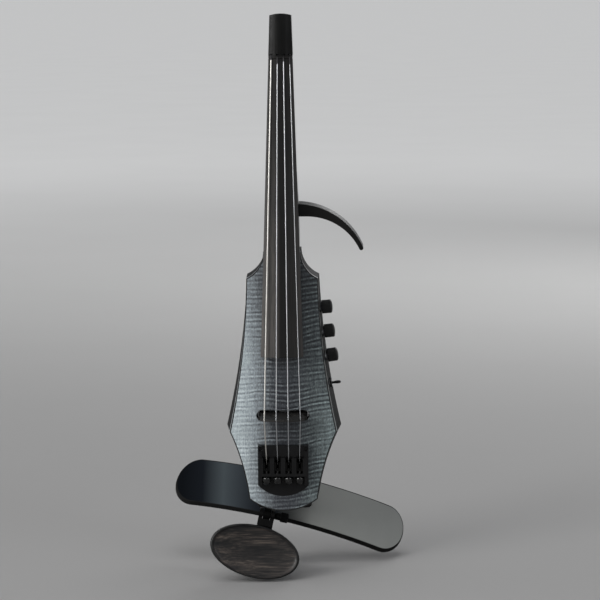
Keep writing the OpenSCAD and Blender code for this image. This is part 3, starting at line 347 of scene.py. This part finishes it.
def streaked_chin_wood():
    """Dark, satin wood with brown streaks along the plate's long axis."""
    s = Shader("chin_wood", roughness=0.45, coat=0.06, coat_roughness=0.3)
    s.set(specular=0.35)
    along = s.mapped(turn=(0, -11, 0), scale=(0.045, 1, 1))
    bend = s.noise(14, detail=2)
    streak = s.noise(900, detail=5, roughness=0.7, vector=along, distortion=0.4)
    broad = s.noise(150, detail=3, vector=s.mapped(turn=(0, -15, 0), scale=(0.12, 1, 1)))
    tone = s.math("MULTIPLY_ADD", broad, 0.55, s.math("MULTIPLY", streak, 0.6))
    tone = s.math("MULTIPLY_ADD", bend, 0.05, tone)
    color = s.ramp(tone, [
        (0.48, (0.003, 0.003, 0.0035)), (0.59, (0.010, 0.0088, 0.0085)), (0.68, (0.031, 0.025, 0.022)),
        (0.78, (0.085, 0.070, 0.058)),
    ])
    s.set(color=color, roughness=s.remap(streak, 0.3, 0.7, 0.38, 0.56))
    s.bump(streak, 0.03, 0.6)
    return s.material


def rest_shell():
    """Grey-green satin shell of the shoulder rest, its wings told apart by painted reflections: the bass wing
    painted dark with a soft painted highlight partway along, the treble wing painted lighter, with painted shade
    next to the body.
    """
    s = Shader("rest_shell", roughness=0.50)
    x, _, _ = s.axes()
    s.set(specular=s.remap(x, -0.02, 0.03, 0.0, 0.25))
    cloud = s.noise(60, detail=4)
    # painted reflections along the rest: dark bass end, a soft painted highlight, painted shade by the body, then
    # the lighter treble wing
    painted_wing_reflection = s.ramp(s.remap(x, -0.10, 0.10, smooth=False), [
        (0.00, (0.004, 0.0048, 0.006)), (0.10, (0.007, 0.0085, 0.011)), (0.20, (0.043, 0.052, 0.058)),
        (0.27, (0.030, 0.036, 0.042)), (0.36, (0.012, 0.014, 0.018)), (0.46, (0.012, 0.014, 0.017)),
        (0.62, (0.212, 0.218, 0.208)), (1.00, (0.160, 0.166, 0.160)),
    ])
    color = s.mix(s.math("MULTIPLY", cloud, 0.3), painted_wing_reflection, (0.6, 0.6, 0.6), "MULTIPLY")
    peel = s.noise(1800, detail=3)
    s.set(color=color, roughness=s.remap(peel, 0.3, 0.7, 0.36, 0.50))
    s.bump(peel, 0.02, 0.5)
    return s.material


def closed_foam():
    """Dense black foam rubber with fine open pores."""
    s = Shader("rest_foam", roughness=0.85)
    pores = s.node("ShaderNodeTexVoronoi", feature="F1")
    s.feed(s.coords, pores.inputs["Vector"])
    s.feed(1700, pores.inputs["Scale"])
    distance = pores.outputs["Distance"]
    soft = s.noise(80, detail=4)
    s.set(color=s.ramp(soft, greys((0.3, 0.003), (0.7, 0.008))), specular=0.15)
    s.bump(distance, 0.10, 0.7)
    return s.material


def circuit_lacquer():
    """Green lacquer over lighter tracks."""
    s = Shader("circuit_board", roughness=0.4, coat=0.5)
    tracks = s.node("ShaderNodeTexBrick")
    s.feed(s.mapped(turn=(90, 0, 0)), tracks.inputs["Vector"])
    s.feed(260, tracks.inputs["Scale"])
    s.feed((0.03, 0.16, 0.07), tracks.inputs["Color1"])
    s.feed((0.02, 0.12, 0.05), tracks.inputs["Color2"])
    s.feed((0.05, 0.26, 0.12), tracks.inputs["Mortar"])
    s.set(color=tracks.outputs["Color"])
    return s.material


DEEP_BLACK = satin_paint("deep_black", 0.0015, roughness=0.6, coat=0.0, specular=0.08)
SILK = silk_thread("silk_lapping", (0.012, 0.010, 0.014))
FINISH = {
    "body_paint": satin_paint("body_paint", 0.009, (0.97, 1.0, 1.02),
                              roughness=0.7, coat=0.0, specular=0.1),
    "figured_maple": flamed_maple(),
    "edge_line": satin_paint("edge_line", 0.010, roughness=0.35),
    "neck_black": wood_black("neck_black", base=0.012),
    "ebony": ebony(),
    "black_metal": satin_paint("black_metal", 0.0045, (1, 1, 1.08),
                               roughness=0.34, coat=0.04, specular=0.2),
    "dark_metal": polished_black("dark_metal"),
    "steel": bare_metal("steel", (0.56, 0.57, 0.58)),
    "brass": bare_metal("brass", (0.62, 0.46, 0.22)),
    "string_steel": string_metal("string_steel", (0.62, 0.63, 0.65), 0.30, roughness=0.42),
    "string_wound": string_metal("string_wound", (0.72, 0.70, 0.66), 0.36, roughness=0.45),
    "bridge_wood": wood_black("bridge_wood", base=0.009, roughness=0.5),
    "black_plastic": moulded_plastic("black_plastic", 0.006),
    "circuit_board": circuit_lacquer(),
    "battery_case": satin_paint("battery_case", 0.10, (0.5, 0.75, 1.0), roughness=0.3),
    "chin_wood": streaked_chin_wood(),
    "rest_shell": rest_shell(),
    "rest_foam": closed_foam(),
}
for node, thing in NODES.items():
    thing.data.materials.clear()
    thing.data.materials.append(FINISH[SLOT_OF[node]])


# ---- mesh helpers --------------------------------------------------------------------

def new_piece(name, bm, node, material=None, replaces=True):
    """Turns a bmesh into a piece on a node's body, which stands in for the node or joins it."""
    mesh = bpy.data.meshes.new(name)
    bmesh.ops.recalc_face_normals(bm, faces=bm.faces)
    bm.to_mesh(mesh)
    bm.free()
    piece = bpy.data.objects.new(name, mesh)
    bpy.context.scene.collection.objects.link(piece)
    mesh.materials.append(material or FINISH[SLOT_OF[node]])
    smooth_by_angle(piece)
    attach(piece, BODY_OF[node])
    if replaces:
        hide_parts(node)
    return piece


def smooth_by_angle(piece):
    bm = bmesh.new()
    bm.from_mesh(piece.data)
    for face in bm.faces:
        face.smooth = True
    for edge in bm.edges:
        edge.smooth = len(edge.link_faces) == 2 and edge.calc_face_angle(0) < SMOOTH_ANGLE
    bm.to_mesh(piece.data)
    bm.free()


def eased(node, width_mm):
    """Stands in for a CAD node with the same shape, its sharp edges rounded over."""
    bm = bmesh.new()
    bm.from_mesh(NODES[node].data)
    bmesh.ops.remove_doubles(bm, verts=bm.verts, dist=2e-6)
    bmesh.ops.dissolve_limit(bm, angle_limit=FLAT_ANGLE, verts=bm.verts, edges=bm.edges)
    piece = new_piece(node + "_eased", bm, node)
    bevel = piece.modifiers.new("ease", "BEVEL")
    bevel.width = width_mm * MM
    bevel.segments = 2
    bevel.limit_method = "ANGLE"
    bevel.angle_limit = BEVEL_ANGLE
    bevel.harden_normals = True
    bevel.miter_outer = "MITER_ARC"
    return piece


# width of the rounding on each carried-over node's edges
EASE_MM = {
    "body_core": 0.5, "fingerboard": 0.5, "nut": 0.25, "head_cap": 0.7, "neck": 0.4,
    "string_anchor": 0.25, "bridge": 0.3, "tuner_frame": 0.35,
    **{f"tuner_carriage_{letter}": 0.3 for letter in "gdae"},
    "hand_stop": 0.6, "tail_bracket": 0.5, "chin_swivel": 0.5, "chin_arm": 0.7, "chin_tray": 0.6,
    "rest_swivel": 0.6, "rest_post": 0.6, "rest_plate": 0.5,
    "control_cover": 0.3, "battery_cover": 0.3, "toggle_nut": 0.2, "jack_nut": 0.3,
}
# pieces whose finish differs from the rest of their material slot
OWN_FINISH = {
    "hand_stop": satin_paint("hand_stop_paint", 0.005, (1.02, 1.0, 0.98),
                             roughness=0.40, coat=0.0, specular=0.15),
    "head_cap": satin_paint("head_cap_paint", 0.004, roughness=0.40, coat=0.0, specular=0.12),
    "chin_arm": satin_paint("chin_arm_paint", 0.004, roughness=0.45, coat=0.0, specular=0.12),
    "chin_swivel": DEEP_BLACK,
    **{f"tuner_carriage_{letter}": DEEP_BLACK for letter in "gdae"},
}
for node, width in EASE_MM.items():
    piece = eased(node, width)
    if node in OWN_FINISH:
        piece.data.materials[0] = OWN_FINISH[node]
black_nickel = bare_metal("black_nickel", (0.05, 0.05, 0.055), roughness=0.35)
for node in ("pot_nuts", "pickup_elements"):
    NODES[node].data.materials[0] = black_nickel


def ring_solid(rings, second_from=None):
    """A closed skin through rings of equal point counts; a ring may fold up to a line or a point.

    From step second_from on, its faces take the second material."""
    bm = bmesh.new()
    made = [[bm.verts.new(point) for point in ring] for ring in rings]
    count = len(rings[0])
    for step, (low, high) in enumerate(zip(made, made[1:])):
        for k in range(count):
            after = (k + 1) % count
            face = bm.faces.new((low[k], low[after], high[after], high[k]))
            face.material_index = 1 if second_from is not None and step >= second_from else 0
    bmesh.ops.remove_doubles(bm, verts=bm.verts, dist=1e-7)
    return bm


def circle(count):
    """Cosines and sines of evenly spaced angles once round."""
    for k in range(count):
        angle = 2 * math.pi * k / count
        yield math.cos(angle), math.sin(angle)


def turned(profile_mm, place, axis, around=72, teeth=0, tooth_mm=0.0, grip=(0, 0)):
    """A lathe-turned solid along axis from place; the grip span of the profile has knurled teeth."""
    axis = Vector(axis).normalized()
    side = axis.cross(Vector((0, 1, 0)) if abs(axis.y) < 0.9 else Vector((1, 0, 0))).normalized()
    other = axis.cross(side)
    count = teeth * 4 if teeth else around
    rings = []
    for height, radius in profile_mm:
        knurled = teeth and grip[0] <= height <= grip[1]
        ring = []
        for k, (c, s) in enumerate(circle(count)):
            cut = tooth_mm if knurled and k % 4 in (2, 3) else 0
            reach = max(radius - cut, 0) * MM
            ring.append(place + axis * height * MM + (side * c + other * s) * reach)
        rings.append(ring)
    return ring_solid(rings)


# ---- knobs, levers and thumb screws --------------------------------------------------

# Turned profiles are (height, radius) pairs in millimetres, the height counted from the joint.
CONTROL_KNOB = [
    (-12, 0), (-12, 2.75), (2.6, 2.75), (2.6, 4.9), (0.7, 4.95), (0.6, 5.3), (0.6, 5.9), (0.8, 6.15),
    (1.3, 6.25), (1.31, 6.25), (8.5, 6.2), (8.51, 6.2), (9.1, 6.05), (9.5, 5.65), (9.85, 4.9),
    (10.15, 3.7), (10.38, 2.4), (10.5, 1.2), (10.54, 0),
]
for name in ("volume_knob", "bass_knob", "treble_knob"):
    hinge = JOINT[name + "_turn"]
    cap = turned(CONTROL_KNOB, Vector(hinge["pos_m"]), hinge["axis"],
                 teeth=32, tooth_mm=0.28, grip=(1.305, 8.505))
    new_piece(name + "_cap", cap, name)

TUNER_KNOB = [
    (-11.8, 0), (-11.8, 1.2), (-11.4, 1.5), (-4.1, 1.5), (-3.95, 2.4), (-3.8, 3.0), (-3.3, 3.6),
    (-2.6, 3.9), (-2.4, 3.98), (-2.39, 3.98), (-0.3, 4.0), (-0.29, 4.0), (0.6, 3.9), (1.6, 3.62),
    (2.5, 3.1), (3.2, 2.4), (3.75, 1.6), (4.08, 0.8), (4.2, 0),
]
for letter in "gdae":
    hinge = JOINT[f"tuner_screw_{letter}_turn"]
    knob = turned(TUNER_KNOB, Vector(hinge["pos_m"]), -Vector(hinge["axis"]),
                  teeth=24, tooth_mm=0.14, grip=(-2.395, -0.295))
    new_piece(f"tuner_knob_{letter}", knob, f"tuner_screw_{letter}")


def thumb_screw(node, start, shaft_r, collar, collar_r, head, tip, head_r):
    """A pin with a collar and a knurled head: start, collar, head and tip are heights."""
    profile = [
        (start, 0), (start, shaft_r - 0.3), (start + 0.3, shaft_r), (collar, shaft_r),
        (collar, collar_r - 0.3), (collar + 0.3, collar_r), (head - 0.3, collar_r),
        (head, head_r - 0.5), (head + 0.5, head_r), (head + 0.9, head_r), (tip - 1.3, head_r),
        (tip - 0.9, head_r), (tip - 0.3, head_r - 0.6), (tip, head_r - 1.5), (tip, 0),
    ]
    hinge = JOINT[node + "_turn"]
    bm = turned(profile, Vector(hinge["pos_m"]), hinge["axis"], teeth=24, tooth_mm=0.32,
                grip=(head + 0.8, tip - 1.2))
    new_piece(node + "_knob", bm, node, DEEP_BLACK)


thumb_screw("chin_thumb_screw", start=-8.2, shaft_r=2.0, collar=7.8, collar_r=3.4,
            head=13, tip=20.6, head_r=4.6)
thumb_screw("rest_thumb_screw", start=-10, shaft_r=2.5, collar=9.4, collar_r=4.2,
            head=10.2, tip=17.4, head_r=5.6)

TOGGLE_LEVER = [
    (-1.8, 0), (-1.6, 0.8), (-1.0, 1.45), (0, 1.7), (1.0, 1.45), (1.7, 1.0), (3.0, 1.0), (5.0, 1.1),
    (6.2, 1.3), (8.6, 1.5), (10.2, 1.5), (11.0, 1.3), (11.5, 0.85), (11.7, 0.4), (11.75, 0),
]
lever_pivot = Vector(JOINT["toggle_flip"]["pos_m"])
wall_normal = Vector(JOINT["bass_knob_turn"]["axis"])
new_piece("toggle_lever_grip", turned(TOGGLE_LEVER, lever_pivot, wall_normal, around=32), "toggle_lever")


# ---- strings -------------------------------------------------------------------------

STRING_SIDE = {"g": -1.5, "d": -0.5, "a": 0.5, "e": 1.5}        # place across, in string pitches
STRING_R = {"g": 0.60, "d": 0.40, "a": 0.40, "e": 0.30}
SILK_END = {"g": 325.0, "d": 321.5, "a": 323.5, "e": 321.0}     # where the lapping near the nut stops
SILK_START = 340
SILK_THICK = 0.09
CAMBER_R = 42
NUT_Z, NUT_HEIGHT, CREST_HEIGHT = 328, 44, 65
NUT_PITCH, BRIDGE_PITCH, TUNER_PITCH = 5.5, 10.9, 10.15
BALL_Y, BALL_Z = -40.5, 345
SADDLE_Y, SADDLE_Z = -46.5, -36
END_Y, END_Z = -42.3, -44.5
CORNER_EASE = 1.4       # how far from a corner of its path a string starts to bend
STRING_BALL = [(-1.5, 0), (-1.5, 0.9), (-1.2, 1.35), (0, 1.5), (1.2, 1.35), (1.5, 0.9), (1.5, 0)]


def string_points(side):
    """Centre line of a string from its ball end to its carriage, in millimetres."""
    def on_camber(height, pitch, level):
        x = side * pitch
        drop = CAMBER_R - math.sqrt(CAMBER_R ** 2 - x * x)
        return Vector((x, drop - height, level))
    nut = on_camber(NUT_HEIGHT, NUT_PITCH, NUT_Z)
    crest = on_camber(CREST_HEIGHT, BRIDGE_PITCH, 0)
    ball = Vector((side * NUT_PITCH, BALL_Y, BALL_Z))
    saddle = Vector((side * TUNER_PITCH, SADDLE_Y, SADDLE_Z))
    end = Vector((side * TUNER_PITCH, END_Y, END_Z))
    return [ball, nut, crest, saddle, end]


def eased_line(points):
    """The same line with each inner corner rounded."""
    steps = 5
    line = [points[0]]
    for before, corner, after in zip(points, points[1:], points[2:]):
        start = corner + (before - corner).normalized() * CORNER_EASE
        stop = corner + (after - corner).normalized() * CORNER_EASE
        for k in range(steps + 1):
            t = k / steps
            line.append(start * (1 - t) ** 2 + corner * 2 * t * (1 - t) + stop * t * t)
    line.append(points[-1])
    return line


def tube(line, radius):
    """A closed round tube through a line in millimetres."""
    around = 16
    rings = [[line[0] * MM] * around]
    for k, point in enumerate(line):
        ahead = (line[min(k + 1, len(line) - 1)] - line[max(k - 1, 0)]).normalized()
        side = ahead.cross(Vector((0, 1, 0))).normalized()
        other = ahead.cross(side)
        rings.append([(point + (side * c + other * s) * radius) * MM for c, s in circle(around)])
    rings.append([line[-1] * MM] * around)
    return ring_solid(rings)


def between(line, low, high):
    """The stretch of a falling line whose level lies between two levels."""
    cut = []
    for a, b in zip(line, line[1:]):
        for level in (high, low):
            if (a.z - level) * (b.z - level) < 0:
                cut.append(a.lerp(b, (a.z - level) / (a.z - b.z)))
        if low <= b.z <= high:
            cut.append(b)
    return cut


for letter, side in STRING_SIDE.items():
    node = "string_" + letter
    line = eased_line(string_points(side))
    radius = STRING_R[letter]
    new_piece(node + "_wire", tube(line, radius), node)
    lapping = tube(between(line, SILK_END[letter], SILK_START), radius + SILK_THICK)
    new_piece(node + "_silk", lapping, node, SILK, replaces=False)
    ball = turned(STRING_BALL, line[0] * MM, (1, 0, 0), around=24)
    new_piece(node + "_ball", ball, node, FINISH["brass"], replaces=False)


# ---- chin plate ----------------------------------------------------------------------

def moved(x, y, z):
    """A shift in millimetres."""
    return Matrix.Translation(Vector((x, y, z)) * MM)


def rotated(degrees, axis):
    return Matrix.Rotation(math.radians(degrees), 4, axis)


CHIN_LONG, CHIN_SHORT = 42.0, 24.0
chin_place = (
    moved(-14, 0, -88.5) @ rotated(12, "Y") @ moved(-4.7, -50, -37.8) @ rotated(3, "Y") @ rotated(-12, "X")
)
# (share of the outline, depth behind the rim in mm), from the middle of the dish round to the back
CHIN_PROFILE = [
    (0, 4.5), (0.2, 4.35), (0.4, 3.9), (0.6, 3.15), (0.75, 2.4), (0.85, 1.8), (0.90, 1.45), (0.918, 1.1),
    (0.928, 0.55), (0.938, 0.15), (0.948, 0.02), (0.958, 0.0), (0.972, 0.1), (0.986, 0.45), (0.996, 1.1),
    (1.0, 2.0), (1.0, 4.0), (0.992, 5.6), (0.97, 7.0), (0.94, 7.8), (0.90, 8.0), (0, 8.0),
]
CHIN_EDGE_FROM = 9      # the profile step where the black lacquered edge starts


def chin_ring(share, depth):
    """One oval ring of the dished plate with its raised, rounded rim."""
    return [chin_place @ (Vector((CHIN_LONG * share * c, depth, CHIN_SHORT * share * s)) * MM)
            for c, s in circle(160)]


dish = ring_solid([chin_ring(*step) for step in CHIN_PROFILE], CHIN_EDGE_FROM)
piece = new_piece("chin_plate_dish", dish, "chin_plate")
piece.data.materials.append(FINISH["black_plastic"])


# ---- shoulder rest pad ---------------------------------------------------------------

REST_R, REST_HALF = 300.0, 23.0     # the bend's radius and half the width
REST_ENDS = (-140.7, 82.0)
REST_REACH = 0.85 * REST_HALF       # how far each round end reaches past the straight sides
rest_place = moved(35.5, 32, -101) @ rotated(16.8, "Y") @ rotated(-37, "X")
# (share of the half width, depth behind the shell's face in mm):
# a lip round the shell, then the crowned back
PAD_PROFILE = [
    (0, 2.4), (0.6, 2.4), (0.93, 2.4), (0.945, 1.2), (0.955, 0.15), (0.968, -0.15), (0.985, 0.0),
    (1.0, 0.6), (1.010, 1.8), (1.018, 3.4), (1.020, 5.2), (1.012, 6.9), (0.992, 8.1), (0.955, 8.9),
    (0.89, 9.4), (0.78, 9.75), (0.60, 10.0), (0.35, 10.2), (0, 10.3),
]


def rest_ring(share, depth):
    """One ring of the pad: two round ends joined by two straight sides, bent with the shell."""
    across, along = 40, 60
    low, high = REST_ENDS[0] + REST_REACH, REST_ENDS[1] - REST_REACH
    flat = []
    for start, here, there, edge in (
        (-math.pi / 2, high, low, REST_HALF * share),
        (math.pi / 2, low, high, -REST_HALF * share),
    ):
        for k in range(across):
            angle = start + math.pi * k / across
            flat.append((here + REST_REACH * share * math.cos(angle), REST_HALF * share * math.sin(angle)))
        flat += [(here + (there - here) * k / along, edge) for k in range(along)]
    ring = []
    for x, z in flat:
        y = REST_R - math.sqrt((REST_R - depth) ** 2 - x * x)
        ring.append(rest_place @ (Vector((x, y, z)) * MM))
    return ring


new_piece("rest_pad_foam", ring_solid([rest_ring(*step) for step in PAD_PROFILE]), "rest_pad")


# ---- camera, floor and light ---------------------------------------------------------

CAMERA_ANGLES = (1.199, 8.13, -0.328)       # azimuth to the treble side, elevation and roll, in degrees
CAMERA_TARGET = (16.15, -36.0, 107.165)
CAMERA_DISTANCE = 2.0                       # in metres
CAMERA_LENS = 131.724                       # on a 36 mm sensor


def build_camera():
    """The camera of the fitted view, from slightly right and above."""
    azimuth, elevation, roll = (math.radians(angle) for angle in CAMERA_ANGLES)
    target = Vector(CAMERA_TARGET) * MM
    back = Vector((math.sin(azimuth) * math.cos(elevation), -math.cos(azimuth) * math.cos(elevation),
                   math.sin(elevation)))
    right = (-back).cross(Vector((0, 0, 1))).normalized()
    up = right.cross(-back)
    rolled_right = math.cos(roll) * right + math.sin(roll) * up
    rolled_up = -math.sin(roll) * right + math.cos(roll) * up
    data = bpy.data.cameras.new("camera")
    data.sensor_width = 36
    data.lens = CAMERA_LENS
    data.clip_start = 0.1
    data.clip_end = 100
    camera = bpy.data.objects.new("camera", data)
    turn = Matrix((rolled_right, rolled_up, back)).transposed().to_4x4()
    camera.matrix_world = Matrix.Translation(target + CAMERA_DISTANCE * back) @ turn
    bpy.context.scene.collection.objects.link(camera)
    bpy.context.scene.camera = camera


FLOOR_HALF = 300        # metres, so that its edge is never near
FLOOR_GAP = 2           # millimetres under the lowest piece


def build_floor():
    """A plain floor, painted darker close to the pieces and lighter with distance: painted shade that offsets the
    lamps' stronger light near them.
    """
    bm = bmesh.new()
    bmesh.ops.create_grid(bm, x_segments=8, y_segments=8, size=FLOOR_HALF)
    mesh = bpy.data.meshes.new("floor")
    bm.to_mesh(mesh)
    bm.free()
    floor = bpy.data.objects.new("floor", mesh)
    floor.location = (0, 0, cad_box[0].z - FLOOR_GAP * MM)
    bpy.context.scene.collection.objects.link(floor)
    s = Shader("floor_paint", roughness=0.95)
    x, y, _ = s.axes()
    away = s.math("SQRT", s.math("MULTIPLY_ADD", x, x, s.math("MULTIPLY", y, y)))
    cloud = s.noise(3, detail=5)
    near, far = grey(0.20, (1, 0.995, 0.99)), grey(0.80, (1, 0.998, 0.99))
    # painted shade near the pieces, fading out to the lighter far floor
    paint = s.ramp(s.remap(away, 0.3, 5.0), [(0, near), (1, far)])
    color = s.mix(s.math("MULTIPLY", cloud, 0.25), paint, grey(0.8), "MULTIPLY")
    s.set(color=color, specular=0.1)
    mesh.materials.append(s.material)


LIGHT_AIM = Vector((0, 0, 0.10))
ROOM_LIGHT = 0.34       # what the room gives the pieces
ROOM_SEEN = 0.70        # what the camera sees of it, level with the far floor


def area_light(name, place, size, power, tint=(1, 1, 1)):
    """A soft rectangle of light aimed at the body; place and size are in metres."""
    data = bpy.data.lights.new(name, "AREA")
    data.shape = "RECTANGLE"
    data.size, data.size_y = size
    data.energy = power
    data.color = tint
    light = bpy.data.objects.new(name, data)
    light.location = place
    light.rotation_euler = (LIGHT_AIM - Vector(place)).to_track_quat("-Z", "Y").to_euler()
    bpy.context.scene.collection.objects.link(light)
    return light


def build_room():
    world = bpy.data.worlds.new("studio")
    world.use_nodes = True
    tree = world.node_tree
    background = tree.nodes["Background"]
    background.inputs["Color"].default_value = (0.80, 0.82, 0.85, 1)
    ray = tree.nodes.new("ShaderNodeLightPath")
    strength = tree.nodes.new("ShaderNodeMapRange")
    strength.inputs["To Min"].default_value = ROOM_LIGHT
    strength.inputs["To Max"].default_value = ROOM_SEEN
    tree.links.new(ray.outputs["Is Camera Ray"], strength.inputs["Value"])
    tree.links.new(strength.outputs["Result"], background.inputs["Strength"])
    bpy.context.scene.world = world


def build_lights():
    """A soft key on the bass side, fills round about, and a strip that only glossy faces pick up."""
    area_light("key", (-1.8, -1.6, 1.1), (1.0, 1.4), 46, (1, 0.99, 0.97))
    area_light("fill", (1.9, -1.7, 1.1), (1.0, 1.2), 13, (0.96, 0.98, 1))
    area_light("top", (0.1, 0.2, 2.0), (1.6, 1.2), 13)
    area_light("back", (0.9, 1.8, 1.3), (1.2, 1.2), 24)
    glint = area_light("glint", (-1.7, -0.7, 0.4), (0.3, 0.9), 14)
    glint.visible_diffuse = False
    data = bpy.data.lights.new("sky", "SUN")
    data.energy = 1.5
    data.angle = math.radians(60)
    sky = bpy.data.objects.new("sky", data)
    sky.rotation_euler = Vector((0.25, 0.35, -1)).to_track_quat("-Z", "Y").to_euler()
    sky.visible_glossy = False
    bpy.context.scene.collection.objects.link(sky)


bpy.context.scene.view_settings.view_transform = "Standard"
build_camera()
build_floor()
build_room()
build_lights()
